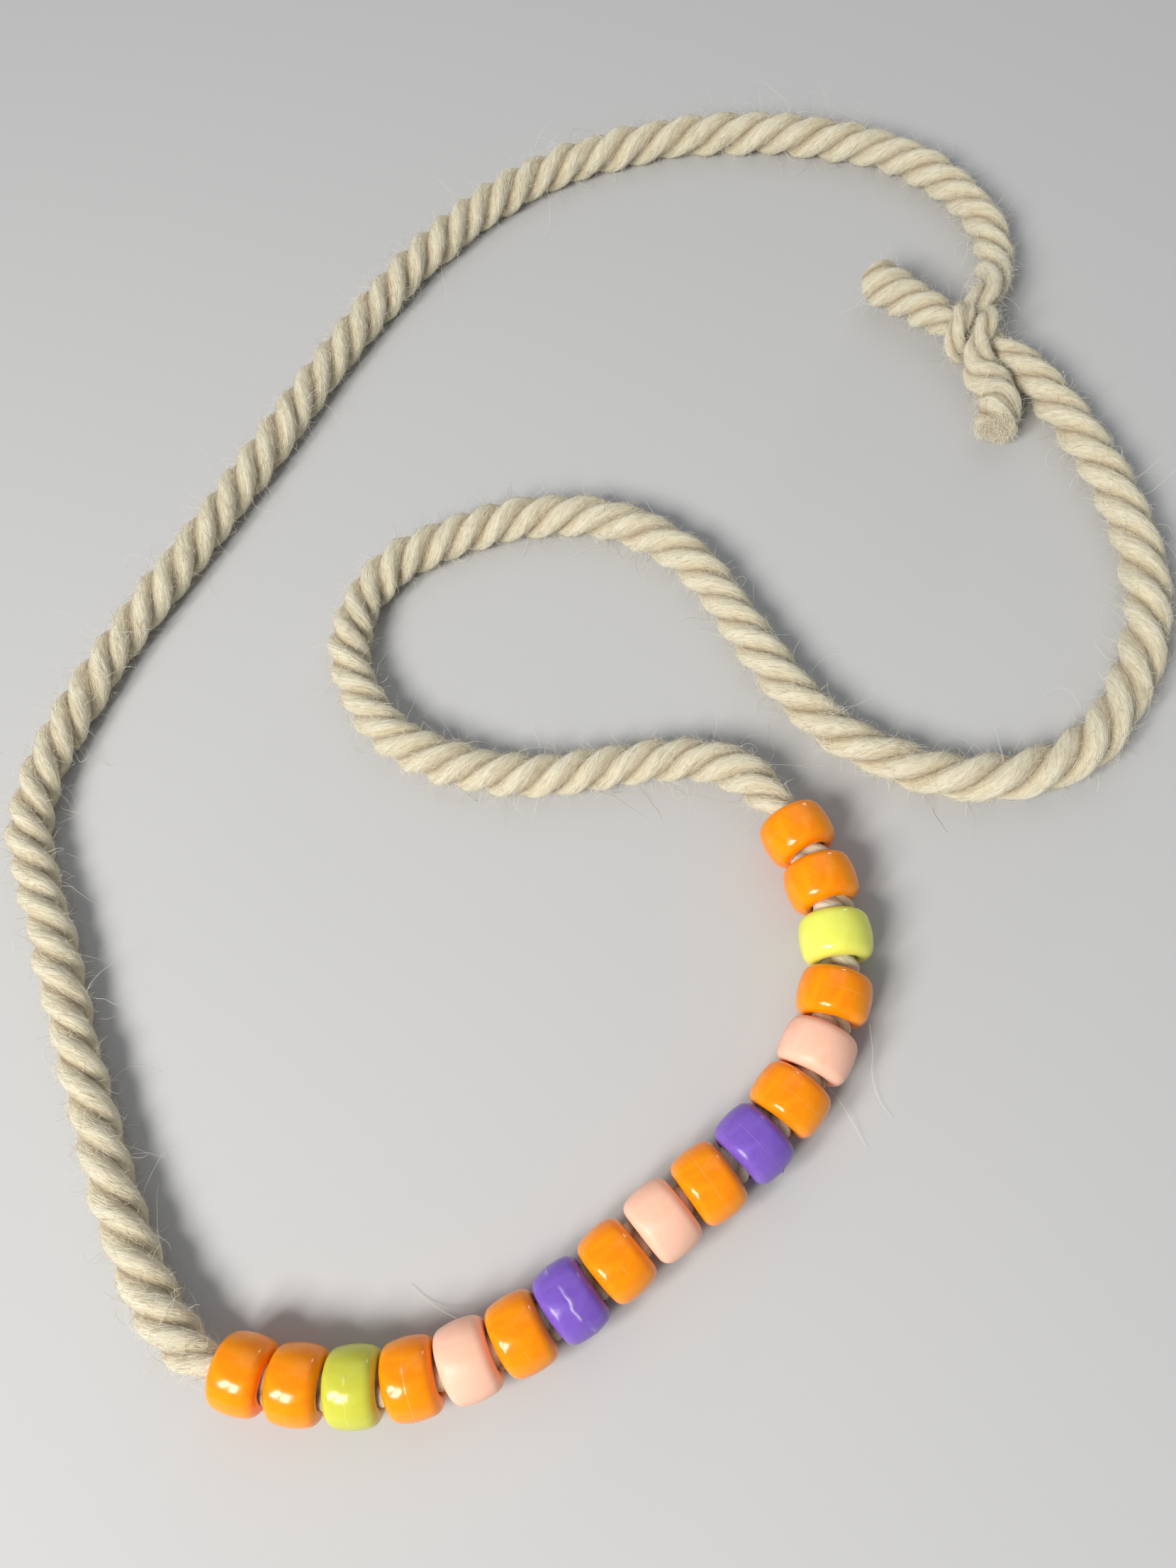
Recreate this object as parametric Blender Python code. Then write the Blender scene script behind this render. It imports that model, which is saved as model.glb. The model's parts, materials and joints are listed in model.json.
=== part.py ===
"""A loop of soft twisted rope, tied in a half knot, with a row of seventeen barrel beads strung on it.

It lies on a flat surface: +X to the right, +Y away from the bead row, +Z up, with the origin in the middle
of the loop's outline, on the surface. Metres.
"""
import math

import bmesh
import bpy
import numpy as np
from mathutils import Matrix, Vector

MM = 0.001

# The rope, thick where it is free and squeezed where something holds it
ROPE_R = 3.0 * MM
IN_BEAD_R = 1.8 * MM
TIP_R = 2.8 * MM
FIRST_TAIL_R = 3.7 * MM
SECOND_TAIL_R = 3.5 * MM
CLEARANCE = 0.3 * MM

# The half knot: one leg runs straight through it and the other winds round that leg
CORE_R = 1.35 * MM
WRAP_R = 1.4 * MM
NECK_R = 1.6 * MM
KNOT_XY = (70.2, 29.3)
CORE_HEADING = math.radians(129.0)
WRAP_PITCH = 3.7
WRAP_FROM = 50.0
WRAP_TO = 490.0
WRAP_STEP = 40.0
WRAP_ORBIT = (CORE_R + WRAP_R + CLEARANCE) / MM
KNOT_Z = WRAP_ORBIT + WRAP_R / MM

# The rope's tube
TUBE_STEP = 18.0 * MM
TUBE_TURN = math.radians(36.0)
CURVE_STEPS = 16

# The beads
BEAD_R = 4.5 * MM
BEAD_L = 6.0 * MM
BORE_R = 2.1 * MM
BORE_MOUTH_R = 2.4 * MM
END_FACE_R = 3.0 * MM
SHOULDER_R = 4.3 * MM
SHOULDER_HALF_L = 1.5 * MM
BEAD_SIDES = 24
SHOULDER_STEPS = 3
BEAD_Z = 4.5

# The rope's route in mm, from the tip of the first tail to the cut end of the second
FIRST_TAIL = [(60.6, 44.6, 4.6), (64.6, 38.2, 4.5)]
CORE_REACH = 3.6
RUN_FROM_KNOT = [
    (76.0, 19.5, 3.2), (78.5, -4.4, 3.0), (73.4, -24.5, 3.0), (58.4, -38.6, 3.0), (43.1, -37.7, 3.0),
    (29.1, -25.3, 3.0), (16.8, 10.1, 3.0), (1.3, 20.8, 3.0), (-23.9, 19.1, 3.0), (-31.5, 7.4, 3.0),
    (-27.8, -7.8, 3.0), (-13.8, -18.5, 3.0), (12.4, -25.5, 3.7),
]
BEAD_ROW = [
    (19.1, -35.4), (19.6, -55.7), (12.0, -67.5), (2.0, -74.8), (-8.8, -79.0), (-27.1, -86.7),
    (-45.3, -88.1), (-64.1, -80.8),
]
RUN_TO_KNOT = [
    (-70.1, -72.9, 3.7), (-78.6, -23.4, 3.0), (-79.9, -2.5, 3.0), (-70.0, 14.1, 3.0), (-45.2, 39.9, 3.0),
    (-6.5, 77.3, 3.0), (19.2, 88.8, 3.0), (48.7, 85.8, 3.0), (73.8, 69.3, 3.0), (80.8, 52.2, 3.0),
    (78.9, 42.0, 3.6), (74.8, 34.6, 6.0),
]
SECOND_TAIL = [(68.8, 23.0, 4.4), (69.6, 16.9, 3.6), (68.0, 13.9, 3.6), (67.2, 12.4, 3.6)]

# The free rope between neighbouring beads' ends, in mm, along the row, with a little before and after it
GAPS = [1.5, 1.2, 1.4, 1.5, 1.05, 0.7, 0.75, 0.95, 0.8, 0.85, 0.7, 0.6, 0.6, 0.6, 0.65, 0.6, 0.6, 0.9]
BEAD_COLOURS = [
    "orange", "orange", "lemon", "orange", "peach", "orange", "violet", "orange", "peach",
    "orange", "violet", "orange", "peach", "orange", "lime", "orange", "orange",
]

# Colour, roughness and metallic value of each material
FINISHES = {
    "rope_yarn": ((0.72, 0.64, 0.48), 0.95, 0.0),
    "bead_orange": ((0.95, 0.27, 0.01), 0.18, 0.0),
    "bead_lemon": ((0.80, 0.78, 0.10), 0.18, 0.0),
    "bead_lime": ((0.55, 0.58, 0.05), 0.20, 0.0),
    "bead_peach": ((0.93, 0.60, 0.44), 0.45, 0.0),
    "bead_violet": ((0.24, 0.10, 0.50), 0.30, 0.0),
}


def clear_scene():
    for thing in list(bpy.data.objects):
        bpy.data.objects.remove(thing, do_unlink=True)


def finish(name):
    """The named material, made once."""
    material = bpy.data.materials.get(name)
    if material is None:
        colour, roughness, metallic = FINISHES[name]
        material = bpy.data.materials.new(name)
        material.use_nodes = True
        shader = material.node_tree.nodes["Principled BSDF"]
        shader.inputs["Base Color"].default_value = (*colour, 1.0)
        shader.inputs["Roughness"].default_value = roughness
        shader.inputs["Metallic"].default_value = metallic
    return material


def in_knot(along, side, height):
    """A point given along the straight leg, to its right and above the surface, in mm."""
    ahead = Vector((math.cos(CORE_HEADING), math.sin(CORE_HEADING)))
    right = Vector((ahead.y, -ahead.x))
    spot = Vector(KNOT_XY) + float(along) * ahead + float(side) * right
    return (spot.x, spot.y, height)


def wrap_points():
    """The winding leg's turns round the straight one, in mm."""
    turns = np.arange(WRAP_FROM, WRAP_TO + 1.0, WRAP_STEP)
    middle = (WRAP_FROM + WRAP_TO) / 2
    return [
        in_knot(
            WRAP_PITCH * (middle - turn) / 360.0,
            WRAP_ORBIT * math.cos(math.radians(turn)),
            KNOT_Z + WRAP_ORBIT * math.sin(math.radians(turn)),
        )
        for turn in turns
    ]


def route_parts():
    """The route's stretches in order, each a list of points in mm."""
    core = [in_knot(CORE_REACH, 0.0, KNOT_Z), in_knot(-CORE_REACH, 0.0, KNOT_Z)]
    row = [(x, y, BEAD_Z) for x, y in BEAD_ROW]
    return [FIRST_TAIL, core, RUN_FROM_KNOT, row, RUN_TO_KNOT, wrap_points(), SECOND_TAIL]


def smooth_curve(points):
    """A curve through the points, as (its points, the number of each given point among them)."""
    p = np.array(points, float)
    p = np.vstack([2 * p[0] - p[1], p, 2 * p[-1] - p[-2]])
    knots = np.concatenate([[0.0], np.cumsum(np.sqrt(np.linalg.norm(np.diff(p, axis=0), axis=1)))])
    curve = []
    for i in range(1, len(p) - 2):
        t0, t1, t2, t3 = knots[i - 1:i + 3]
        for t in np.linspace(t1, t2, CURVE_STEPS, endpoint=False):
            a1 = ((t1 - t) * p[i - 1] + (t - t0) * p[i]) / (t1 - t0)
            a2 = ((t2 - t) * p[i] + (t - t1) * p[i + 1]) / (t2 - t1)
            a3 = ((t3 - t) * p[i + 1] + (t - t2) * p[i + 2]) / (t3 - t2)
            b1 = ((t2 - t) * a1 + (t - t0) * a2) / (t2 - t0)
            b2 = ((t3 - t) * a2 + (t - t1) * a3) / (t3 - t1)
            curve.append(((t2 - t) * b1 + (t - t1) * b2) / (t2 - t1))
    curve.append(p[-2])
    return np.array(curve), [n * CURVE_STEPS for n in range(len(points))]


def distances(curve):
    return np.concatenate([[0.0], np.cumsum(np.linalg.norm(np.diff(curve, axis=0), axis=1))])


def at_distance(curve, along, wanted):
    return np.array([np.interp(wanted, along, curve[:, k]) for k in range(3)])


def row_joints(curve, along, first):
    """Where the rope bends between beads: (distances along the curve, points), one more than the beads."""
    marks = [first]
    spots = [at_distance(curve, along, first)]
    for number in range(len(BEAD_COLOURS)):
        reach = BEAD_L + (GAPS[number] + GAPS[number + 1]) / 2 * MM
        ahead = np.linspace(marks[-1] + 0.9 * reach, marks[-1] + 1.3 * reach, 400)
        gone = [np.linalg.norm(at_distance(curve, along, d) - spots[-1]) for d in ahead]
        marks.append(float(np.interp(reach, gone, ahead)))
        spots.append(at_distance(curve, along, marks[-1]))
    return marks, spots


def turning(curve, along):
    """The angle turned through up to each point of the curve."""
    legs = np.diff(curve, axis=0)
    legs /= np.linalg.norm(legs, axis=1)[:, None]
    bends = np.arccos(np.clip((legs[1:] * legs[:-1]).sum(1), -1.0, 1.0))
    return np.concatenate([[0.0, 0.0], np.cumsum(bends)])[:len(along)]


def tube_marks(along, turned, cuts):
    """Distances along the curve where the tube has a point: at every cut, and closer together in bends."""
    cost = np.hypot(np.diff(along) / TUBE_STEP, np.diff(turned) / TUBE_TURN)
    spent = np.concatenate([[0.0], np.cumsum(cost)])
    marks = []
    for start, end in zip(cuts, cuts[1:]):
        low, high = np.interp([start, end], along, spent)
        pieces = max(1, round(high - low))
        marks += [np.interp(c, spent, along) for c in np.linspace(low, high, pieces, endpoint=False)]
    return marks + [cuts[-1]]


def make_rope(spots, radii):
    data = bpy.data.curves.new("rope", "CURVE")
    data.dimensions = "3D"
    data.bevel_depth = ROPE_R
    data.bevel_resolution = 4
    data.use_fill_caps = True
    spline = data.splines.new("POLY")
    spline.points.add(len(spots) - 1)
    for point, spot, radius in zip(spline.points, spots, radii):
        point.co = (*spot, 1.0)
        point.radius = radius / ROPE_R
    rope = bpy.data.objects.new("rope", data)
    bpy.context.collection.objects.link(rope)
    data.materials.append(finish("rope_yarn"))
    return rope


def bead_outline():
    """Half of a bead's section from its middle out to its end face and back along the bore: (x, radius)."""
    outline = [(0.0, BEAD_R)]
    for step in range(SHOULDER_STEPS + 1):
        angle = math.radians(90.0) * step / SHOULDER_STEPS
        outline.append((
            SHOULDER_HALF_L + (BEAD_L / 2 - SHOULDER_HALF_L) * math.sin(angle),
            END_FACE_R + (SHOULDER_R - END_FACE_R) * math.cos(angle),
        ))
    outline.append((BEAD_L / 2, BORE_MOUTH_R))
    outline.append((BEAD_L / 2 - CLEARANCE, BORE_R))
    return outline


def bead_mesh():
    """A barrel with a round bore along its local X axis."""
    half = bead_outline()
    section = half + [(-x, r) for x, r in reversed(half[1:])]
    mesh = bmesh.new()
    rings = []
    for side in range(BEAD_SIDES):
        angle = 2 * math.pi * side / BEAD_SIDES
        rings.append([mesh.verts.new((x, r * math.cos(angle), r * math.sin(angle))) for x, r in section])
    for side in range(BEAD_SIDES):
        ring, following = rings[side], rings[(side + 1) % BEAD_SIDES]
        for k in range(len(section)):
            after = (k + 1) % len(section)
            mesh.faces.new((ring[k], ring[after], following[after], following[k]))
    bmesh.ops.recalc_face_normals(mesh, faces=mesh.faces)
    data = bpy.data.meshes.new("bead")
    mesh.to_mesh(data)
    mesh.free()
    data.shade_smooth()
    data.set_sharp_from_angle(angle=math.radians(40.0))
    return data


def make_bead(number, colour, before, after):
    """A bead on the straight stretch of rope between two points, as far from the first as its gap says."""
    axis = (Vector(after) - Vector(before)).normalized()
    centre = Vector(before) + axis * (GAPS[number] * MM + BEAD_L) / 2
    bead = bpy.data.objects.new(f"bead_{number + 1:02d}_{colour}", bead_mesh())
    bpy.context.collection.objects.link(bead)
    across = Vector((0.0, 0.0, 1.0)).cross(axis).normalized()
    turn = Matrix((axis, across, axis.cross(across))).transposed()
    bead.matrix_world = Matrix.Translation(centre) @ turn.to_4x4()
    bead.data.materials.append(finish(f"bead_{colour}"))


def main():
    clear_scene()
    parts = route_parts()
    curve, numbers = smooth_curve([point for part in parts for point in part])
    curve *= MM
    along = distances(curve)
    starts = np.cumsum([0] + [len(part) for part in parts])
    core_in, core_out = along[numbers[starts[1]]], along[numbers[starts[2] - 1]]
    wrap_in, wrap_out = along[numbers[starts[5]]], along[numbers[starts[6] - 1]]
    marks, spots = row_joints(curve, along, along[numbers[starts[3]]])
    end = along[-1]

    thickness = [
        (0.0, TIP_R), (2.0 * MM, FIRST_TAIL_R), (core_in - 4.5 * MM, ROPE_R), (core_in, CORE_R),
        (core_out, CORE_R), (core_out + 7.0 * MM, ROPE_R),
        (marks[0] - 6.0 * MM, ROPE_R), (marks[0], IN_BEAD_R),
        (marks[-1], IN_BEAD_R), (marks[-1] + 6.0 * MM, ROPE_R),
        (wrap_in - 12.0 * MM, ROPE_R), (wrap_in - 4.0 * MM, NECK_R), (wrap_in, WRAP_R),
        (wrap_out, WRAP_R), (wrap_out + 6.0 * MM, ROPE_R), (end - 1.6 * MM, SECOND_TAIL_R), (end, SECOND_TAIL_R),
    ]
    turned = turning(curve, along)
    before = [mark for mark, _ in thickness if mark <= marks[0]]
    behind = [mark for mark, _ in thickness if mark >= marks[-1]]
    lead = tube_marks(along, turned, before)[:-1]
    trail = tube_marks(along, turned, behind)[1:]
    tube = [at_distance(curve, along, d) for d in lead] + spots + [at_distance(curve, along, d) for d in trail]
    radii = np.interp(lead + marks + trail, *zip(*thickness))
    make_rope(tube, radii)
    for number, colour in enumerate(BEAD_COLOURS):
        make_bead(number, colour, spots[number], spots[number + 1])


main()
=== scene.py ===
"""Looks of the beaded rope loop: a fluffy three-ply rope, its half knot, and seventeen barrel beads."""

import json
import math

import bmesh
import bpy
import numpy as np
from mathutils import Matrix, Vector


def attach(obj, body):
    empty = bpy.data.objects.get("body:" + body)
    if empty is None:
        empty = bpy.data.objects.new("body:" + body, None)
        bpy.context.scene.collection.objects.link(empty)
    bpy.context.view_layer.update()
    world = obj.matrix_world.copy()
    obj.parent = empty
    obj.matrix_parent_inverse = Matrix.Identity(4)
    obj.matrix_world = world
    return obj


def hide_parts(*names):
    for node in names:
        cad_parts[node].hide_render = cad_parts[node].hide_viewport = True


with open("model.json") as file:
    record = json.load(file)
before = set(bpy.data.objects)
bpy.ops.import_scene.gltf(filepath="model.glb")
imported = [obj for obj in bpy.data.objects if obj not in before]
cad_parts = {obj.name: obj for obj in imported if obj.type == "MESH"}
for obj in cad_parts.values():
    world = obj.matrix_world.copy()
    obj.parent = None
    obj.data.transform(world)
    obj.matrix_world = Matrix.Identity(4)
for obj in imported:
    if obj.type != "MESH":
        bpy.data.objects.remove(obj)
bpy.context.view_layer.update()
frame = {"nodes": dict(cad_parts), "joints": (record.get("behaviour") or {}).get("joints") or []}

MM = 0.001
SEED = 7

# The rope's route, as the part has it, in mm, from the tip of the first tail to the cut end of the second
FIRST_TAIL = [(60.6, 44.6, 4.6), (64.6, 38.2, 4.5)]
RUN_FROM_KNOT = [
    (76.0, 19.5, 3.2), (78.5, -4.4, 3.0), (73.4, -24.5, 3.0), (58.4, -38.6, 3.0), (43.1, -37.7, 3.0),
    (29.1, -25.3, 3.0), (16.8, 10.1, 3.0), (1.3, 20.8, 3.0), (-23.9, 19.1, 3.0), (-31.5, 7.4, 3.0),
    (-27.8, -7.8, 3.0), (-13.8, -18.5, 3.0), (12.4, -25.5, 3.7),
]
BEAD_ROW = [
    (19.1, -35.4, 4.5), (19.6, -55.7, 4.5), (12.0, -67.5, 4.5), (2.0, -74.8, 4.5), (-8.8, -79.0, 4.5),
    (-27.1, -86.7, 4.5), (-45.3, -88.1, 4.5), (-64.1, -80.8, 4.5),
]
RUN_TO_KNOT = [
    (-70.1, -72.9, 3.7), (-78.6, -23.4, 3.0), (-79.9, -2.5, 3.0), (-70.0, 14.1, 3.0), (-45.2, 39.9, 3.0),
    (-6.5, 77.3, 3.0), (19.2, 88.8, 3.0), (48.7, 85.8, 3.0), (73.8, 69.3, 3.0), (80.8, 52.2, 3.0),
    (78.9, 42.0, 3.6), (74.8, 34.6, 6.0),
]
SECOND_TAIL = [(68.8, 23.0, 4.4), (69.6, 16.9, 3.6), (68.0, 13.9, 3.6), (67.2, 12.4, 3.6)]

# The half knot: one leg runs straight through it and the other winds round that leg
KNOT_XY = np.array([70.2, 29.3])
CORE_HEADING = math.radians(129.0)
CORE_REACH = 3.6
KNOT_Z = 4.45
WRAP_ORBIT = 3.05
WRAP_PITCH = 3.7
WRAP_TURNS = np.arange(50.0, 491.0, 40.0)

# The laid rope, in mm: its three plies, with the shares of its radius that they and their grooves reach
PLIES = 3
PLY_ORBIT = 0.46
PLY_R = 0.54
GROOVE = 0.70
GROOVE_IN_BEADS = 0.86
GROOVE_SOFTNESS = 0.06
# The swelling of the rope in the gaps between beads, and how far it reaches into their bores
GAP_BULGE = 0.8
GAP_BULGE_INTO_BORE = 0.5
# The rope's ends, in mm: fluff past the first tip, its dome and its stretch without grooves; the cut's
# rounding, and the share by which it narrows
TIP_FLUFF = 1.7
TIP_DOME = 3.4
TIP_DOME_POWER = 2.3
TIP_PLAIN = 4.5
CUT_ROUNDING = 1.1
CUT_NARROWING = 0.20
# How far the middle of the tip stands out of its first ring, and that of the cut is sunk into its last
TIP_PROUD = 0.03
CUT_HOLLOW = 0.7
# The rope's mesh: curve points from one route point to the next, points across a ply, and mm between rings
CURVE_STEPS = 24
PLY_POINTS = 14
RING_STEP = 0.36
# The lowest that the rope's skin and the loose fibres' middles may be over the surface
SKIN_Z = 0.02
HAIR_Z = 0.04

# The beads, in mm
BEAD_R = 4.5
BEAD_HALF_L = 3.02
BORE_R = 2.1
BEAD_SIDES = 96
# The barrel's gentle crown, and where its shoulders start, how far they fall and how squarely they round
CROWN_FALL = 0.14
CROWN_REACH = 1.6
SHOULDER_FROM = 1.35
SHOULDER_FALL = 1.44
SHOULDER_POWER = 2.2
# Only points farther out than this carry the parting line and the gate's nub
OUTSIDE_R = 4.0
# The nub's half length and half width
NUB_HALF_L = 0.22
NUB_HALF_W = 0.30
# A ridge and a nub as high as these are scuffed all through
FULL_SCUFF_RIDGE = 0.09
FULL_SCUFF_NUB = 0.3

# Loose fibres, in mm: the radius of most of them, of the cut end's and of the long stray ones
FIBRE_R = 0.016
TUFT_R = 0.022
STRAY_R = 0.03
STRAY_POINTS = 25
# How deep they are rooted and how high they may reach, in mm; how much they waver and droop as they grow
ROOT_DEPTH = 0.15
HAIR_CEILING = 14.0
HAIR_JITTER = 0.18
HAIR_DROOP = 0.06
TUFT_DROOP = 0.03

# The camera: where the lens is over the surface, how far down it looks, and its roll
CAMERA_AT = (-4.0, -100.0, 166.0)
CAMERA_PITCH = math.radians(64.75)
CAMERA_ROLL = math.radians(-16.6)
FOCAL_LENGTHS_PER_HEIGHT = 1900.0 / 2212.0
SENSOR = 36.0
CLIP_START = 0.005

# The stage, in m: the floor, the soft room round it, and two window panes, a fill and a rim light
FLOOR_REACH = 3.0
FLOOR_COLOUR = (0.52, 0.515, 0.505, 1.0)
ROOM_COLOUR = (0.86, 0.91, 1.0, 1.0)
ROOM_STRENGTH = 0.30
LIGHTS = [
    # name, place, size, power, colour
    ("window_left", (-0.47, -0.24, 0.50), (0.14, 0.26), 2.9, (1.0, 0.985, 0.96)),
    ("window_right", (-0.34, -0.37, 0.50), (0.14, 0.26), 2.9, (1.0, 0.985, 0.96)),
    ("fill", (0.35, 0.55, 0.70), (0.9, 0.9), 1.4, (0.92, 0.96, 1.0)),
    ("rim", (0.62, 0.70, 0.16), (0.12, 0.16), 0.7, (1.0, 1.0, 1.0)),
]


# ---------------------------------------------------------------- route

def in_knot(along, side, height):
    """A point given along the knot's straight leg, to its right and above the surface."""
    ahead = np.array([math.cos(CORE_HEADING), math.sin(CORE_HEADING)])
    right = np.array([ahead[1], -ahead[0]])
    return (*(KNOT_XY + along * ahead + side * right), height)


def route_stretches():
    core = [in_knot(CORE_REACH, 0.0, KNOT_Z), in_knot(-CORE_REACH, 0.0, KNOT_Z)]
    middle = (WRAP_TURNS[0] + WRAP_TURNS[-1]) / 2
    wraps = [
        in_knot(
            WRAP_PITCH * (middle - turn) / 360.0,
            WRAP_ORBIT * math.cos(math.radians(turn)),
            KNOT_Z + WRAP_ORBIT * math.sin(math.radians(turn)),
        )
        for turn in WRAP_TURNS
    ]
    return [FIRST_TAIL, core, RUN_FROM_KNOT, BEAD_ROW, RUN_TO_KNOT, wraps, SECOND_TAIL]


def smooth_curve(points, steps=CURVE_STEPS):
    """A centripetal Catmull-Rom curve through the points."""
    p = np.array(points, float)
    p = np.vstack([2 * p[0] - p[1], p, 2 * p[-1] - p[-2]])
    knots = np.concatenate([[0.0], np.cumsum(np.sqrt(np.linalg.norm(np.diff(p, axis=0), axis=1)))])
    curve = []
    for i in range(1, len(p) - 2):
        t0, t1, t2, t3 = knots[i - 1:i + 3]
        for t in np.linspace(t1, t2, steps, endpoint=False):
            a1 = ((t1 - t) * p[i - 1] + (t - t0) * p[i]) / (t1 - t0)
            a2 = ((t2 - t) * p[i] + (t - t1) * p[i + 1]) / (t2 - t1)
            a3 = ((t3 - t) * p[i + 1] + (t - t2) * p[i + 2]) / (t3 - t2)
            b1 = ((t2 - t) * a1 + (t - t0) * a2) / (t2 - t0)
            b2 = ((t3 - t) * a2 + (t - t1) * a3) / (t3 - t1)
            curve.append(((t2 - t) * b1 + (t - t1) * b2) / (t2 - t1))
    curve.append(p[-2])
    return np.array(curve)


def distances(curve):
    return np.concatenate([[0.0], np.cumsum(np.linalg.norm(np.diff(curve, axis=0), axis=1))])


def evenly(curve, count):
    """That many points, evenly spaced along a curve."""
    along = distances(curve)
    marks = np.linspace(0.0, along[-1], count)
    return np.stack([np.interp(marks, along, curve[:, k]) for k in range(3)], axis=1)


def smooth_values(values, reach):
    """Values averaged over a window of reach samples each way."""
    window = np.hanning(2 * reach + 3)[1:-1]
    padded = np.pad(values, reach, mode="edge")
    return np.convolve(padded, window / window.sum(), mode="valid")


def wander(rng, count, reach):
    """A smooth random walk of mean 0 and spread 1."""
    values = smooth_values(rng.standard_normal(count), reach)
    return (values - values.mean()) / values.std()


def carried_frames(points):
    """Tangents and a pair of normals carried along the curve without twisting round it."""
    tangents = np.gradient(points, axis=0)
    tangents /= np.linalg.norm(tangents, axis=1)[:, None]
    up = np.zeros_like(tangents)
    first = np.array([0.0, 0.0, 1.0])
    up[0] = first - tangents[0] * (first @ tangents[0])
    up[0] /= np.linalg.norm(up[0])
    for i in range(1, len(points)):
        v = up[i - 1] - tangents[i] * (up[i - 1] @ tangents[i])
        up[i] = v / np.linalg.norm(v)
    side = np.cross(up, tangents)
    return tangents, up, side


# ---------------------------------------------------------------- rope

class Rope:
    """The rope's centreline, thickness, twist and skin at every ring, in mm."""

    def __init__(self, bead_spots):
        stretches = route_stretches()
        steps = CURVE_STEPS
        curve = smooth_curve([point for stretch in stretches for point in stretch])
        along = distances(curve) + TIP_FLUFF
        counts = np.cumsum([0] + [len(stretch) for stretch in stretches])
        self.marks = {
            name: (along[counts[k] * steps], along[(counts[k + 1] - 1) * steps])
            for k, name in enumerate(("tip", "core", "from", "row", "to", "wraps", "tail"))
        }
        # the fluffy tip stands a little proud of the route's first point
        tip = curve[0] + (curve[0] - curve[1]) / np.linalg.norm(curve[0] - curve[1]) * TIP_FLUFF
        self.length = along[-1]
        self.points = evenly(np.vstack([tip, curve]), int(self.length / RING_STEP) + 1)
        self.s = np.linspace(0.0, self.length, len(self.points))
        self.tangents, self.up, self.side = carried_frames(self.points)
        self.bead_s = [self.s[np.linalg.norm(self.points - spot, axis=1).argmin()] for spot in bead_spots]
        self.radius = self.thickness()
        self.turn = self.twist()
        self.rings = self.skin()

    def thickness(self):
        """The rope's radius: fat where it is loose, thin in the knot and the beads, domed at its tip."""
        m = self.marks
        keys = [
            (0.0, 3.45), (4.0, 3.6), (8.0, 3.35), (m["core"][0] - 3.0, 2.9), (m["core"][0] + 1.0, 1.6),
            (m["core"][1] - 1.0, 1.6), (m["core"][1] + 6.0, 2.9), (m["from"][0] + 8.0, 3.15),
            (m["from"][0] + 50.0, 3.25), (m["from"][0] + 90.0, 3.05), (m["row"][0] - 6.0, 3.0),
            (m["row"][0] + 0.3, 2.0), (m["row"][1] - 0.3, 2.0), (m["row"][1] + 5.0, 3.0),
            (m["to"][0] + 150.0, 3.05), (m["wraps"][0] - 60.0, 3.25), (m["wraps"][0] - 12.0, 3.0),
            (m["wraps"][0] - 4.0, 2.2), (m["wraps"][0], 1.65), (m["wraps"][1], 1.6),
            (m["wraps"][1] + 5.0, 2.9), (self.length - 3.5, 3.35), (self.length, 3.3),
        ]
        radius = np.interp(self.s, *zip(*keys))
        for a, b in zip(self.bead_s, self.bead_s[1:]):
            half_gap = (b - a) / 2 - BEAD_HALF_L
            reach = half_gap + GAP_BULGE_INTO_BORE
            bulge = np.clip(1 - np.abs(self.s - (a + b) / 2) / reach, 0, 1)
            radius += GAP_BULGE * np.sin(bulge * math.pi / 2) ** 2
        radius = smooth_values(radius, 2)
        from_tip = np.clip(self.s / TIP_DOME, 0.0, 1.0)
        from_cut = np.clip((self.length - self.s) / CUT_ROUNDING, 0.0, 1.0)
        radius *= np.sqrt(np.clip(1 - (1 - from_tip) ** TIP_DOME_POWER, 0.002, 1.0))
        return radius * (1 - CUT_NARROWING + CUT_NARROWING * np.sqrt(1 - (1 - from_cut) ** 2))

    def twist(self):
        """The angle turned by the plies up to each ring; they run left-handed."""
        m = self.marks
        lays = [
            (0.0, 10.5), (m["core"][0] - 3.0, 11.0), (m["core"][1], 17.0), (m["from"][0] + 10.0, 18.5),
            (m["from"][0] + 55.0, 17.0), (m["from"][0] + 85.0, 18.0), (m["from"][0] + 115.0, 17.0),
            (m["from"][0] + 125.0, 14.8), (m["from"][0] + 140.0, 16.8), (m["from"][0] + 165.0, 13.6),
            (m["row"][0] - 40.0, 13.2), (m["row"][0], 14.5), (m["row"][1], 17.2),
            (m["row"][1] + 40.0, 16.8), (m["row"][1] + 75.0, 14.0), (m["row"][1] + 105.0, 16.4),
            (m["row"][1] + 170.0, 16.2), (m["row"][1] + 205.0, 14.0), (m["row"][1] + 245.0, 17.0),
            (m["row"][1] + 285.0, 14.4),
            (m["wraps"][0] - 16.0, 16.0), (m["wraps"][0] - 6.0, 22.0), (m["wraps"][0], 14.0),
            (m["wraps"][1], 13.0), (self.length, 14.0),
        ]
        lay = np.interp(self.s, *zip(*lays))
        return -np.cumsum(2 * math.pi * RING_STEP / lay)

    def grooves(self):
        """How far out the bottom of the grooves is at each ring, as a share of the radius."""
        m = self.marks
        keys = [(0.0, 1.0), (TIP_PLAIN, 0.74), (TIP_PLAIN + 3.0, GROOVE), (m["row"][0] - 2.0, GROOVE),
                (m["row"][0] + 1.0, GROOVE_IN_BEADS), (m["row"][1] - 1.0, GROOVE_IN_BEADS),
                (m["row"][1] + 2.0, GROOVE), (self.length - 9.0, GROOVE), (self.length - 4.0, 0.84),
                (self.length, 0.93)]
        return np.interp(self.s, *zip(*keys))

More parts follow.
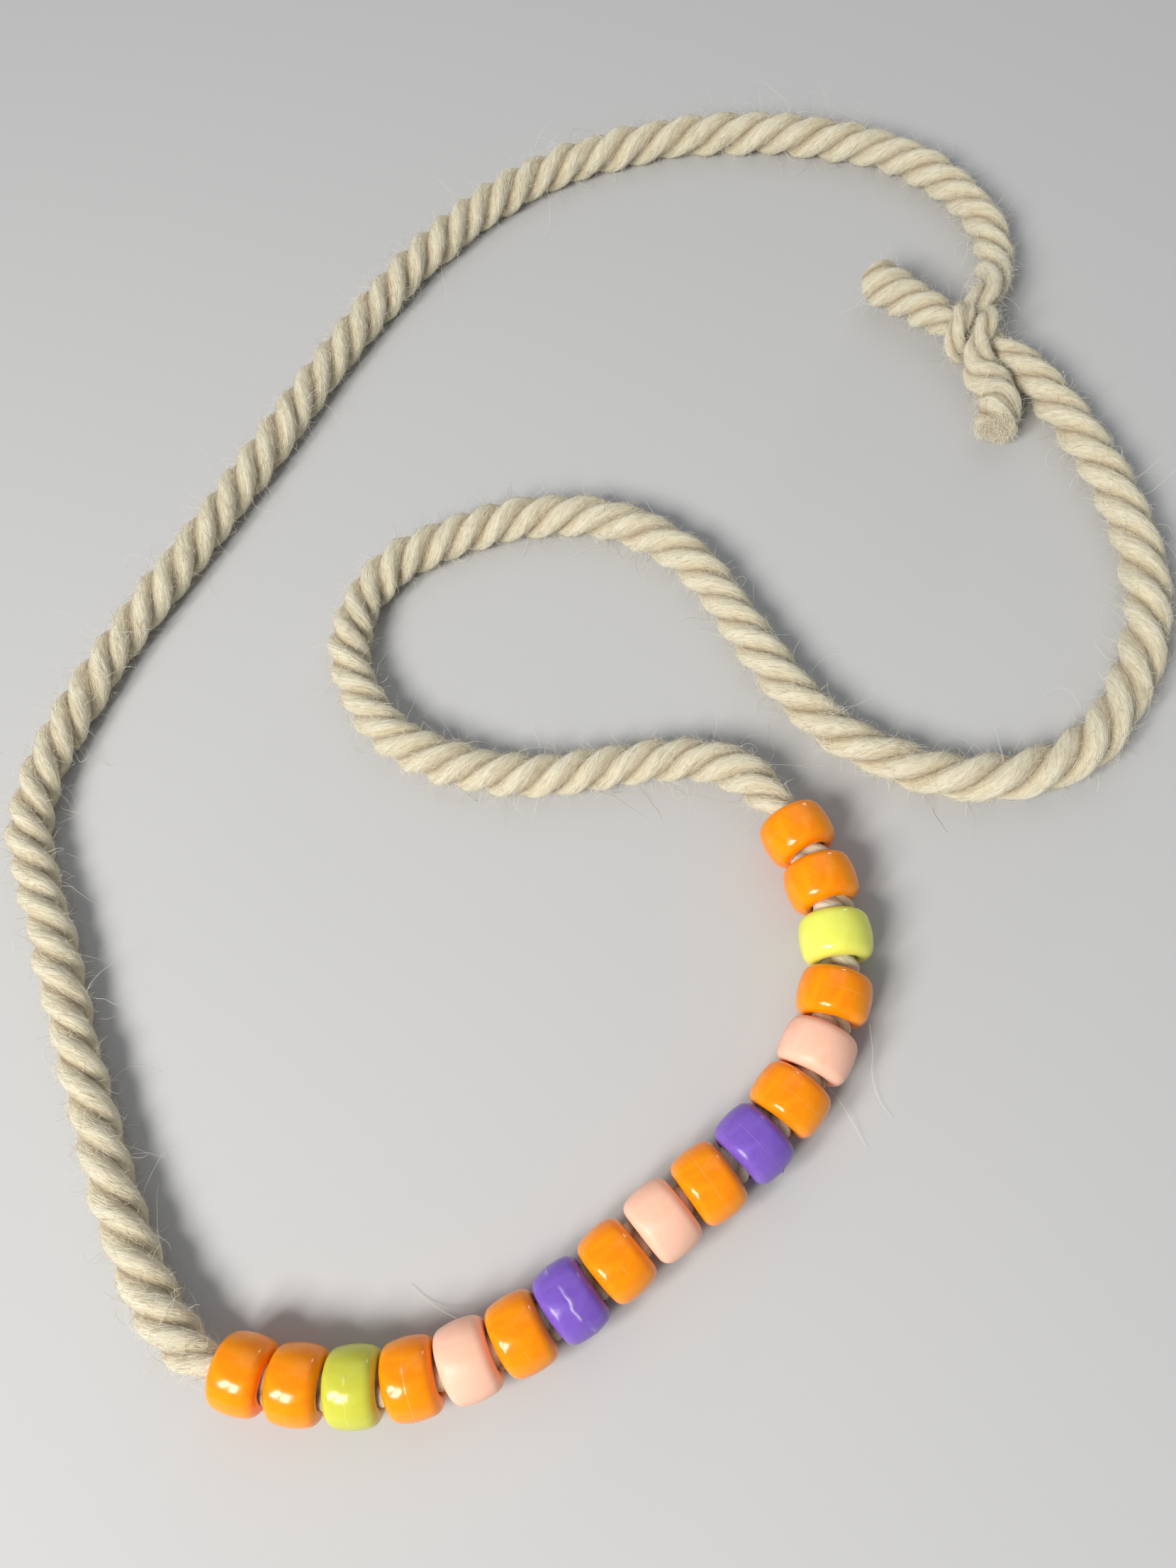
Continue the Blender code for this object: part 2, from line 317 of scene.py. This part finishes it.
    def skin(self):
        """The rope's rings of points: (rings, around, 3)."""
        rng = np.random.default_rng(SEED)
        count = len(self.s)
        half = math.pi / PLIES
        steps = np.linspace(-1.0, 1.0, PLY_POINTS, endpoint=False)
        # closer together in the grooves
        offsets = half * (0.35 * np.sin(steps * math.pi / 2) + 0.65 * steps)
        plain = lobe(offsets[None], self.grooves()[:, None])
        crest = np.cos(offsets / half * math.pi / 2) ** 0.5
        angle = np.zeros((count, PLIES * PLY_POINTS))
        reach = np.zeros_like(angle)
        for ply in range(PLIES):
            swell = 0.035 * wander(rng, count, 14)
            lean = 0.07 * wander(rng, count, 18)
            part = slice(ply * PLY_POINTS, (ply + 1) * PLY_POINTS)
            angle[:, part] = (ply * 2 * half + offsets)[None] + lean[:, None] * crest[None]
            reach[:, part] = plain * (1.0 + swell[:, None] * crest[None])
        for column in range(reach.shape[1]):
            reach[:, column] *= 1.0 + 0.010 * wander(rng, count, 4) + 0.008 * wander(rng, count, 9)
        angle += self.turn[:, None]
        reach *= (self.radius * (1.0 + 0.02 * wander(rng, count, 30)))[:, None]
        out = np.cos(angle)[..., None] * self.side[:, None] + np.sin(angle)[..., None] * self.up[:, None]
        rings = self.points[:, None] + reach[..., None] * out
        rings[..., 2] = np.maximum(rings[..., 2], SKIN_Z)
        return rings

    def on_skin(self, ring, column):
        """Points of the skin, and the directions out of it there, at fractional rings and columns."""
        around = self.rings.shape[1]
        ring = np.clip(ring, 0.0, len(self.s) - 1.001)
        i, j = np.floor(ring).astype(int), np.floor(column).astype(int)
        f, g = (ring - i)[..., None], (column - j)[..., None]
        near = self.rings[i, j % around] * (1 - g) + self.rings[i, (j + 1) % around] * g
        far = self.rings[i + 1, j % around] * (1 - g) + self.rings[i + 1, (j + 1) % around] * g
        place = near * (1 - f) + far * f
        out = place - (self.points[i] * (1 - f) + self.points[i + 1] * f)
        return place, out / np.linalg.norm(out, axis=-1)[..., None]

    def free_rings(self, rng, count, first=3, last=3):
        """Random rings outside the bead row."""
        ring = rng.uniform(first, len(self.s) - last, count)
        row_from, row_to = self.marks["row"]
        s = ring * self.length / (len(self.s) - 1)
        return ring[(s < row_from + 0.2) | (s > row_to - 0.2)]


def lobe(angle, groove):
    """The skin of a ply at an angle from its middle, as a share of the rope's radius."""
    off_middle = PLY_ORBIT * np.sin(angle)
    ply = PLY_ORBIT * np.cos(angle) + np.sqrt(np.maximum(PLY_R ** 2 - off_middle ** 2, 0.0))
    return GROOVE_SOFTNESS * np.logaddexp(ply / GROOVE_SOFTNESS, groove / GROOVE_SOFTNESS)


def tube_mesh(name, rings, cap_start, cap_end):
    """A closed tube through rings of points, with a point at each end."""
    count, around = rings.shape[:2]
    points = np.vstack([rings.reshape(-1, 3), cap_start[None], cap_end[None]]) * MM
    i = np.arange(count - 1)[:, None]
    j = np.arange(around)[None]
    a = i * around + j
    b = i * around + (j + 1) % around
    quads = np.stack([a, b, b + around, a + around], axis=-1).reshape(-1, 4)
    k = np.arange(around)
    first = np.stack([np.full(around, count * around), (k + 1) % around, k], axis=1)
    base = (count - 1) * around
    last = np.stack([np.full(around, count * around + 1), base + k, base + (k + 1) % around], axis=1)
    mesh = bpy.data.meshes.new(name)
    mesh.from_pydata(points.tolist(), [], quads.tolist() + first.tolist() + last.tolist())
    return mesh, len(quads)


def set_yarn_map(mesh, rope, around, quads_count):
    """UV: across is the place round the rope in plies, along the distance in mm."""
    layer = mesh.uv_layers.new(name="yarn")
    loops = np.zeros(len(mesh.loops), np.int32)
    mesh.loops.foreach_get("vertex_index", loops)
    column = loops % around
    ring = np.minimum(loops // around, len(rope.s) - 1)
    u = column / PLY_POINTS
    v = rope.s[ring]
    # the last column closes on the first, one turn on
    corner = np.arange(len(loops))
    starts = np.minimum((corner // 4) * 4, len(loops) - 1)
    closing = (corner < quads_count * 4) & (u[starts] > PLIES - 1.01 / PLY_POINTS) & (column == 0)
    u = np.where(closing, float(PLIES), u)
    layer.data.foreach_set("uv", np.stack([u, v], axis=1).astype(np.float32).ravel())


def add(name, mesh, materials, body):
    piece = bpy.data.objects.new(name, mesh)
    bpy.context.collection.objects.link(piece)
    for material in materials:
        mesh.materials.append(material)
    mesh.shade_smooth()
    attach(piece, body)
    return piece


def make_rope(rope):
    before_tip = rope.points[0] - rope.tangents[0] * TIP_PROUD
    in_cut = rope.points[-1] - rope.tangents[-1] * CUT_HOLLOW
    mesh, quads = tube_mesh("twisted_rope", rope.rings, before_tip, in_cut)
    set_yarn_map(mesh, rope, rope.rings.shape[1], quads)
    piece = add("twisted_rope", mesh, [yarn_material()], "rope")
    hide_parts("rope")
    return piece


# ---------------------------------------------------------------- materials

class Nodes:
    """A short way to build a node tree."""

    def __init__(self, name):
        self.material = bpy.data.materials.new(name)
        self.material.use_nodes = True
        self.tree = self.material.node_tree
        self.shader = self.tree.nodes["Principled BSDF"]

    def set(self, **values):
        for key, value in values.items():
            self.shader.inputs[key.replace("_", " ")].default_value = value

    def make(self, kind, **values):
        node = self.tree.nodes.new(kind)
        for key, value in values.items():
            if hasattr(node, key):
                setattr(node, key, value)
            else:
                node.inputs[key.replace("_", " ")].default_value = value
        return node

    def link(self, source, target):
        self.tree.links.new(source, target)

    def noise(self, source, scale, detail=3.0, roughness=0.5, **values):
        """Noise over a vector stretched by scale."""
        mapping = self.make("ShaderNodeMapping", Scale=scale)
        self.link(source, mapping.inputs["Vector"])
        node = self.make("ShaderNodeTexNoise", Scale=1.0, Detail=detail, Roughness=roughness, **values)
        self.link(mapping.outputs[0], node.inputs["Vector"])
        return node.outputs[0]

    def ramp(self, source, stops):
        node = self.tree.nodes.new("ShaderNodeValToRGB")
        elements = node.color_ramp.elements
        while len(elements) < len(stops):
            elements.new(0.5)
        for element, (place, colour) in zip(elements, stops):
            element.position = place
            element.color = (*colour, 1.0)
        self.link(source, node.inputs["Fac"])
        return node.outputs["Color"]

    def mix(self, factor, a, b, blend="MIX"):
        node = self.tree.nodes.new("ShaderNodeMix")
        node.data_type = "RGBA"
        node.blend_type = blend
        for socket, value in ((node.inputs[0], factor), (node.inputs[6], a), (node.inputs[7], b)):
            if isinstance(value, bpy.types.NodeSocket):
                self.link(value, socket)
            else:
                socket.default_value = value if isinstance(value, float) else (*value, 1.0)
        return node.outputs[2]

    def maths(self, operation, a, b=0.0):
        node = self.tree.nodes.new("ShaderNodeMath")
        node.operation = operation
        for socket, value in zip(node.inputs, (a, b)):
            if isinstance(value, bpy.types.NodeSocket):
                self.link(value, socket)
            else:
                socket.default_value = value
        return node.outputs[0]

    def bump(self, height, strength, distance):
        node = self.make("ShaderNodeBump", Strength=strength, Distance=distance)
        self.link(height, node.inputs["Height"])
        self.link(node.outputs[0], self.shader.inputs["Normal"])


def yarn_material():
    """Soft beige yarn: crowns painted pale as a highlight, grooves painted brown as shade, and fine fibres
    along each ply.
    """
    n = Nodes("yarn")
    uv = n.make("ShaderNodeUVMap", uv_map="yarn").outputs["UV"]
    split = n.make("ShaderNodeSeparateXYZ")
    n.link(uv, split.inputs[0])
    # crown runs from 0 in the grooves between plies to 1 on each ply's crest
    crown = n.maths("SINE", n.maths("MULTIPLY", n.maths("FRACT", split.outputs[0]), math.pi))
    fine = n.noise(uv, (34.0, 1.1, 1.0), 5.0, 0.65, Distortion=0.4)
    strand = n.noise(uv, (8.0, 0.35, 1.0), 3.0, 0.55, Distortion=0.3)
    broad = n.noise(uv, (1.6, 0.10, 1.0), 2.0)
    # painted light: the base colour is painted shade, dark brown, in the grooves and a painted highlight,
    # pale cream, on each ply's crest
    body = n.ramp(crown, [(0.0, (0.30, 0.19, 0.09)), (0.30, (0.55, 0.43, 0.26)), (0.62, (0.76, 0.68, 0.48)),
                          (1.0, (0.86, 0.81, 0.64))])
    streaks = n.ramp(fine, [(0.28, (0.66, 0.58, 0.46)), (0.50, (0.92, 0.90, 0.84)),
                            (0.72, (1.0, 1.0, 1.0))])
    strands = n.ramp(strand, [(0.30, (0.80, 0.74, 0.64)), (0.60, (1.0, 1.0, 1.0))])
    colour = n.mix(0.85, body, streaks, "MULTIPLY")
    colour = n.mix(0.8, colour, strands, "MULTIPLY")
    colour = n.mix(n.maths("MULTIPLY", broad, 0.35), colour, (0.88, 0.83, 0.67))
    n.link(colour, n.shader.inputs["Base Color"])
    n.bump(n.maths("ADD", fine, n.maths("MULTIPLY", strand, 1.5)), 0.8, 0.0003)
    n.set(Roughness=0.9, Sheen_Weight=0.5, Sheen_Roughness=0.45, Sheen_Tint=(1.0, 0.95, 0.82, 1.0),
          Specular_IOR_Level=0.2, Subsurface_Weight=0.2, Subsurface_Radius=(1.0, 0.7, 0.4),
          Subsurface_Scale=0.0009)
    return n.material


def fibre_materials():
    materials = []
    for name, colour in (("fibre_pale", (0.90, 0.86, 0.72)), ("fibre_beige", (0.74, 0.64, 0.45)),
                         ("fibre_brown", (0.46, 0.34, 0.19))):
        n = Nodes(name)
        n.set(Base_Color=(*colour, 1.0), Roughness=0.6, Specular_IOR_Level=0.3, Sheen_Weight=0.2)
        materials.append(n.material)
    return materials


BEAD_LOOKS = {
    # colour, shade of the flow marks, roughness, weight of the clear gloss over it
    "orange": ((1.0, 0.255, 0.0), (1.0, 0.315, 0.0), 0.17, 0.15),
    "lemon": ((0.78, 0.79, 0.115), (0.80, 0.82, 0.145), 0.18, 0.15),
    "lime": ((0.56, 0.55, 0.055), (0.60, 0.60, 0.07), 0.19, 0.15),
    "peach": ((0.95, 0.52, 0.36), (0.97, 0.56, 0.41), 0.42, 0.0),
    "violet": ((0.185, 0.092, 0.47), (0.22, 0.115, 0.54), 0.26, 0.05),
}


def bead_material(colour):
    """Moulded plastic with faint flow marks, a scuffed parting line, and colour that glows a little."""
    base, light, roughness, coat = BEAD_LOOKS[colour]
    n = Nodes(f"plastic_{colour}")
    place = n.make("ShaderNodeTexCoord").outputs["Object"]
    cloud = n.noise(place, (150.0, 330.0, 330.0), 3.0, 0.55, Distortion=1.2)
    wear = n.noise(place, (900.0, 900.0, 900.0), 2.0)
    scuff = n.make("ShaderNodeAttribute", attribute_name="scuff").outputs["Fac"]
    shade = n.ramp(cloud, [(0.38, base), (0.62, light)])
    pale = tuple(0.40 + 0.60 * c for c in light)
    n.link(n.mix(n.maths("MULTIPLY", scuff, 0.6), shade, pale), n.shader.inputs["Base Color"])
    rough = n.ramp(wear, [(0.45, (roughness,) * 3), (0.85, (roughness + 0.05,) * 3)])
    n.link(n.mix(scuff, rough, (0.5, 0.5, 0.5)), n.shader.inputs["Roughness"])
    n.bump(cloud, 0.10, 0.0003)
    n.set(Coat_Weight=coat, Coat_Roughness=0.06, Specular_IOR_Level=0.32, Subsurface_Weight=0.3,
          Subsurface_Radius=(1.0, 0.35, 0.15), Subsurface_Scale=0.0016)
    return n.material


# ---------------------------------------------------------------- fuzz

# The steps of a lying fibre, and how far the fibres' columns round the rope are moved to be positive
COAT_STEPS = 3
COLUMNS_ASIDE = 100.0
# Each piece of the rope's coat of lying fibres: how many fibres, and how far they lift at their tips, in mm
COAT = [("coat_1", 9400, 0.10), ("coat_2", 9400, 0.16), ("coat_3", 9400, 0.24), ("coat_4", 9400, 0.34),
        ("coat_5", 9400, 0.48)]
# Each piece of standing fuzz: how many fibres and steps, their usual length in mm and its spread, and their
# lift and curl
FUZZ = [
    ("halo_1", 7300, 4, 0.95, 0.35, 1.00, 0.60),
    ("halo_2", 7300, 4, 1.25, 0.35, 0.80, 0.60),
    ("halo_3", 7300, 4, 1.60, 0.35, 0.60, 0.50),
    ("curls", 3100, 10, 3.2, 0.45, 0.85, 0.70),
    ("flyaways", 620, 18, 6.5, 0.40, 0.90, 0.45),
]
# The shares of pale, beige and brown fibres
COAT_SHARES = [0.50, 0.40, 0.10]
FUZZ_SHARES = [0.60, 0.33, 0.07]
TUFT_SHARES = [0.55, 0.36, 0.09]
STRAY_SHARES = [1.0, 0.0, 0.0]
# The brush at the cut end
TUFT_FIBRES = 3600
TUFT_STEPS = 5
# Single long hairs: three caught under beads and one over the second tail, in mm
STRAY_HAIRS = [
    [(12.6, -69.3, 3.4), (14.0, -72.3, 1.6), (14.9, -76.0, 0.6), (15.3, -78.0, 0.3)],
    [(20.2, -64.7, 3.6), (19.6, -67.7, 2.0), (18.8, -69.9, 1.0), (18.6, -72.9, 0.5), (19.3, -75.4, 0.3)],
    [(-35.9, -83.4, 3.5), (-37.9, -81.8, 1.2), (-39.6, -80.1, 0.5), (-41.1, -77.9, 0.3)],
    [(72.0, 22.0, 6.4), (69.7, 20.8, 7.4), (67.8, 18.7, 7.5), (66.4, 16.9, 7.1), (65.9, 15.8, 6.2)],
]


def coat_paths(rng, rope, count, lift):
    """Fibres that lie along the plies and lift off them a little at their tips."""
    steps = COAT_STEPS
    ring = rope.free_rings(rng, count, 4, 8)
    n = len(ring)
    reach = rng.uniform(2.2, 5.5, n) * rng.choice([-1.0, 1.0], n)
    column = rng.uniform(0, rope.rings.shape[1], n)
    drift = rng.normal(0.0, 1.5, n)
    tip = lift * rng.uniform(0.2, 1.6, n)
    k = np.linspace(0.0, 1.0, steps + 1)
    columns = (column[:, None] + drift[:, None] * k) + COLUMNS_ASIDE
    place, out = rope.on_skin(ring[:, None] + reach[:, None] * k, columns)
    rise = -0.03 + tip[:, None] * k ** 1.4 + rng.normal(0.0, 0.02, (n, steps + 1))
    paths = place + out * rise[..., None] + rng.normal(0.0, 0.03, (n, steps + 1, 3)) * k[None, :, None]
    paths[..., 2] = np.maximum(paths[..., 2], HAIR_Z)
    return paths


def fuzz_paths(rng, rope, count, steps, usual, spread, lift, curl):
    """Loose curly fibres that leave the rope."""
    ring = rope.free_rings(rng, count)
    n = len(ring)
    root, out = rope.on_skin(ring, rng.uniform(0, rope.rings.shape[1], n))
    along = rope.tangents[ring.astype(int)]
    across = np.cross(along, out)
    heading = (out * rng.uniform(0.15, 1.0, n)[:, None] * lift + along * rng.normal(0.0, 0.8, n)[:, None]
               + across * rng.normal(0.0, 0.5, n)[:, None])
    heading /= np.linalg.norm(heading, axis=1)[:, None]
    step = np.clip(rng.lognormal(math.log(usual), spread, n), 0.4, 13.0) / steps
    spin = rng.normal(0.0, 1.0, (n, 3))
    spin /= np.linalg.norm(spin, axis=1)[:, None]
    bend = rng.normal(0.0, curl, n)
    return grow(rng, root - out * ROOT_DEPTH, heading, spin, bend, step, steps, HAIR_DROOP)


def grow(rng, place, heading, spin, bend, step, steps, droop):
    """Hairs grown step by step, each curling its own way and sinking a little."""
    paths = np.zeros((len(place), steps + 1, 3))
    place[:, 2] = np.maximum(place[:, 2], HAIR_Z)
    paths[:, 0] = place
    for k in range(1, steps + 1):
        turn = (bend * step)[:, None] * np.cross(spin, heading)
        heading = heading + turn + rng.normal(0.0, HAIR_JITTER, heading.shape) * np.sqrt(step)[:, None]
        heading[:, 2] -= droop * step
        heading /= np.linalg.norm(heading, axis=1)[:, None]
        place = place + heading * step[:, None]
        place[:, 2] = np.clip(place[:, 2], HAIR_Z, HAIR_CEILING)
        paths[:, k] = place
    return paths


def tuft_paths(rng, rope, count):
    """The brush of yarn at the rope's cut end, spreading a little."""
    steps = TUFT_STEPS
    # the square root spreads them evenly over the cut's area
    spot = rng.uniform(0.0, 1.0, count) ** 0.5
    angle = rng.uniform(0, 2 * math.pi, count)
    out = np.cos(angle)[:, None] * rope.side[-1] + np.sin(angle)[:, None] * rope.up[-1]
    back = rng.uniform(0.8, 2.2, count)
    root = rope.points[-1] - rope.tangents[-1] * back[:, None]
    root = root + out * (spot * rope.radius[-1] * 0.96)[:, None]
    heading = rope.tangents[-1][None] + out * (spot * 0.20)[:, None] + rng.normal(0.0, 0.07, (count, 3))
    heading /= np.linalg.norm(heading, axis=1)[:, None]
    uneven = 0.80 + 0.35 * np.sin(3 * angle + 1.0) * spot
    step = (back + rng.uniform(0.1, 0.9, count) * uneven) / steps
    spin = rng.normal(0.0, 1.0, (count, 3))
    return grow(rng, root, heading, spin, rng.normal(0.0, 0.10, count), step, steps, TUFT_DROOP)


def hair_mesh(name, paths, rng, thickness):
    """Three-sided closed tapering hairs along the paths."""
    n, steps = paths.shape[:2]
    tangents = np.gradient(paths, axis=1)
    tangents /= np.maximum(np.linalg.norm(tangents, axis=2)[..., None], 1e-9)
    a = np.cross(tangents, np.array([0.31, 0.17, 0.93]))
    a /= np.maximum(np.linalg.norm(a, axis=2)[..., None], 1e-9)
    b = np.cross(tangents, a)
    taper = np.interp(np.linspace(0, 1, steps), [0, 0.7, 1], [1.0, 0.9, 0.45])
    radius = thickness * rng.uniform(0.7, 1.35, n)[:, None] * taper[None]
    corners = []
    for k in range(3):
        w = 2 * math.pi * k / 3
        corners.append(paths + radius[..., None] * (a * math.cos(w) + b * math.sin(w)))
    points = np.stack(corners, axis=2).reshape(-1, 3) * MM
    base = (np.arange(n) * steps * 3)[:, None, None]
    first = base + (np.arange(steps - 1) * 3)[None, :, None] + np.arange(3)[None, None]
    second = base + (np.arange(steps - 1) * 3)[None, :, None] + (np.arange(3)[None, None] + 1) % 3
    quads = np.stack([first, second, second + 3, first + 3], axis=-1).reshape(-1, 4)
    start = base[:, 0]
    caps = np.concatenate([start + np.array([2, 1, 0]), start + (steps - 1) * 3 + np.array([0, 1, 2])])
    mesh = bpy.data.meshes.new(name)
    mesh.from_pydata(points.tolist(), [], quads.tolist() + caps.tolist())
    return mesh


def make_hairs(name, paths, rng, materials, shares, thickness=FIBRE_R):
    """One piece of many hairs, in three shades."""
    n, steps = paths.shape[0], paths.shape[1] - 1
    piece = add(name, hair_mesh(name, paths, rng, thickness), materials, "rope")
    shade = rng.choice(3, n, p=shares)
    index = np.concatenate([np.repeat(shade, steps * 3), shade, shade]).astype(np.int32)
    piece.data.polygons.foreach_set("material_index", index)
    return piece


def make_fuzz(rope):
    rng = np.random.default_rng(SEED + 1)
    shades = fibre_materials()
    pieces = []
    for name, count, lift in COAT:
        paths = coat_paths(rng, rope, count, lift)
        pieces.append(make_hairs(name, paths, rng, shades, COAT_SHARES))
    for name, count, *habit in FUZZ:
        paths = fuzz_paths(rng, rope, count, *habit)
        pieces.append(make_hairs(name, paths, rng, shades, FUZZ_SHARES))
    tuft = tuft_paths(rng, rope, TUFT_FIBRES)
    pieces.append(make_hairs("cut_end_tuft", tuft, rng, shades, TUFT_SHARES, TUFT_R))
    hairs = np.stack([evenly(smooth_curve(route), STRAY_POINTS) for route in STRAY_HAIRS])
    pieces.append(make_hairs("stray_hairs", hairs, rng, shades, STRAY_SHARES, STRAY_R))
    return pieces


# ---------------------------------------------------------------- beads

# Each bead's parting line: how proud it is, its half width and how far it wanders to the side, in mm
USUAL_SEAM = (0.014, 0.06, 0.04)
SEAMS = {
    "bead_11": (0.14, 0.15, 0.26), "bead_12": (0.022, 0.06, 0.04), "bead_14": (0.030, 0.07, 0.05),
    "bead_15": (0.030, 0.07, 0.04), "bead_16": (0.020, 0.06, 0.04),
}
# The moulding gate's nub: its angle round the bead from level, and its height in mm
GATES = {"bead_07": (0.05, 0.30), "bead_11": (0.95, 0.16), "bead_14": (1.75, 0.14), "bead_15": (1.7, 0.12)}
USUAL_GATE = (2.6, 0.04)


def bead_outline():
    """Half a bead's outline from its middle to the end face and back along the bore: (x, radius) in mm."""
    # close steps in the middle, for the parting line
    outline = [(x, BEAD_R) for x in (0.0, 0.05, 0.10, 0.16, 0.23, 0.31, 0.41)]
    for t in np.linspace(0.17, 1.0, 18):
        # a barrel whose shoulders round over into the end face
        x = BEAD_HALF_L * math.sin(t * math.pi / 2)
        crown = BEAD_R - CROWN_FALL * (min(x, CROWN_REACH) / CROWN_REACH) ** 2
        over = max(0.0, (x - SHOULDER_FROM) / (BEAD_HALF_L - SHOULDER_FROM))
        outline.append((x, crown - SHOULDER_FALL * (1 - math.sqrt(max(0.0, 1 - over ** SHOULDER_POWER)))))
    face = BEAD_HALF_L
    return outline + [(face, 2.84), (face - 0.01, 2.62), (face - 0.10, 2.36), (face - 0.30, 2.18),
                      (face - 0.7, BORE_R), (1.2, BORE_R), (0.4, BORE_R)]


def ragged(rng, angles):
    """A ragged value round a bead, of mean 0 and spread about 1."""
    waves = [
        np.cos(wave * angles + rng.uniform(0, 2 * math.pi)) / wave ** 0.4
        for wave in (1, 2, 3, 5, 9, 17)
    ]
    return np.sum(waves, axis=0) * 0.8


def bead_mesh(name, rng, body):
    half = bead_outline()
    section = half + [(-x, r) for x, r in reversed(half[1:])]
    angles = np.linspace(0, 2 * math.pi, BEAD_SIDES, endpoint=False)
    # hardly out of round
    oval = 1 + 0.005 * np.cos(2 * angles + rng.uniform(0, 6.28))
    oval = oval + 0.003 * np.cos(3 * angles + rng.uniform(0, 6.28))
    proud, half_width, stray = SEAMS.get(body, USUAL_SEAM)
    seam = proud * np.clip(0.5 + 0.5 * ragged(rng, angles), 0.0, 1.8)
    shift = stray * ragged(rng, angles)
    gate_angle, gate_height = GATES.get(body, USUAL_GATE)
    points = []
    scuffs = []
    for angle, stretch, ridge, aside in zip(angles, oval, seam, shift):
        off_gate = (angle - gate_angle + math.pi) % (2 * math.pi) - math.pi
        for x, r in section:
            outside = r > OUTSIDE_R
            line = math.exp(-((x - aside) / half_width) ** 2) if outside else 0.0
            off_nub = (x / NUB_HALF_L) ** 2 + (off_gate * BEAD_R / NUB_HALF_W) ** 2
            nub = math.exp(-off_nub) if outside else 0.0
            reach = r * (stretch if r > 2.5 else 1.0) + ridge * line + gate_height * nub
            points.append((x * MM, reach * math.cos(angle) * MM, reach * math.sin(angle) * MM))
            scuffs.append(min(1.0, line * ridge / FULL_SCUFF_RIDGE + nub * gate_height / FULL_SCUFF_NUB))
    count = len(section)
    faces = []
    for i in range(BEAD_SIDES):
        a, b = i * count, ((i + 1) % BEAD_SIDES) * count
        for k in range(count):
            after = (k + 1) % count
            faces.append((a + k, a + after, b + after, b + k))
    mesh = bpy.data.meshes.new(name)
    mesh.from_pydata(points, [], faces)
    mesh.attributes.new("scuff", "FLOAT", "POINT").data.foreach_set("value", scuffs)
    work = bmesh.new()
    work.from_mesh(mesh)
    bmesh.ops.recalc_face_normals(work, faces=work.faces)
    work.to_mesh(mesh)
    work.free()
    return mesh


def make_bead(node, joint, materials, rng):
    body, colour = node[:7], node.split("_")[2]
    name = f"glossy_{node}" if colour != "peach" else f"matte_{node}"
    bead = add(name, bead_mesh(name, rng, body), [materials[colour]], joint["child"])
    axis = Vector(joint["axis"]).normalized()
    across = Vector((0, 0, 1)).cross(axis).normalized()
    turn = Matrix((axis, across, axis.cross(across))).transposed().to_4x4()
    bead.matrix_world = Matrix.Translation(Vector(joint["pos_m"])) @ turn
    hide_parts(node)


# ---------------------------------------------------------------- stage

def make_camera():
    data = bpy.data.cameras.new("camera")
    data.sensor_width = SENSOR
    data.lens = FOCAL_LENGTHS_PER_HEIGHT * SENSOR
    data.clip_start = CLIP_START
    camera = bpy.data.objects.new("camera", data)
    bpy.context.collection.objects.link(camera)
    aim = Matrix.Rotation(math.pi / 2 - CAMERA_PITCH, 4, "X") @ Matrix.Rotation(CAMERA_ROLL, 4, "Z")
    camera.matrix_world = Matrix.Translation(Vector(CAMERA_AT) * MM) @ aim
    bpy.context.scene.camera = camera


def area_light(name, place, size, power, colour):
    """A rectangular light that faces the middle of the floor."""
    data = bpy.data.lights.new(name, "AREA")
    data.shape = "RECTANGLE"
    data.size, data.size_y = size
    data.energy = power
    data.color = colour
    light = bpy.data.objects.new(name, data)
    bpy.context.collection.objects.link(light)
    light.location = place
    light.rotation_euler = (-Vector(place)).to_track_quat("-Z", "Y").to_euler()


def make_stage():
    reach = FLOOR_REACH
    corners = [(-reach, -reach, 0), (reach, -reach, 0), (reach, reach, 0), (-reach, reach, 0)]
    mesh = bpy.data.meshes.new("floor")
    mesh.from_pydata(corners, [], [(0, 1, 2, 3)])
    floor = bpy.data.objects.new("floor", mesh)
    bpy.context.collection.objects.link(floor)
    n = Nodes("pale_floor")
    n.set(Base_Color=FLOOR_COLOUR, Roughness=0.85, Specular_IOR_Level=0.2)
    mesh.materials.append(n.material)
    world = bpy.data.worlds.new("soft_room")
    world.use_nodes = True
    background = world.node_tree.nodes["Background"]
    background.inputs["Color"].default_value = ROOM_COLOUR
    background.inputs["Strength"].default_value = ROOM_STRENGTH
    bpy.context.scene.world = world
    for light in LIGHTS:
        area_light(*light)
    bpy.context.scene.view_settings.view_transform = "Standard"


# ---------------------------------------------------------------- the loop

make_camera()
joints = {joint["child"]: joint for joint in frame["joints"]}
rope = Rope([np.array(joints[body]["pos_m"]) / MM for body in sorted(joints)])
rope_piece = make_rope(rope)
make_fuzz(rope)
plastics = {colour: bead_material(colour) for colour in BEAD_LOOKS}
bead_rng = np.random.default_rng(SEED + 2)
for bead_node in sorted(name for name in frame["nodes"] if name.startswith("bead")):
    make_bead(bead_node, joints[bead_node[:7]], plastics, bead_rng)
make_stage()
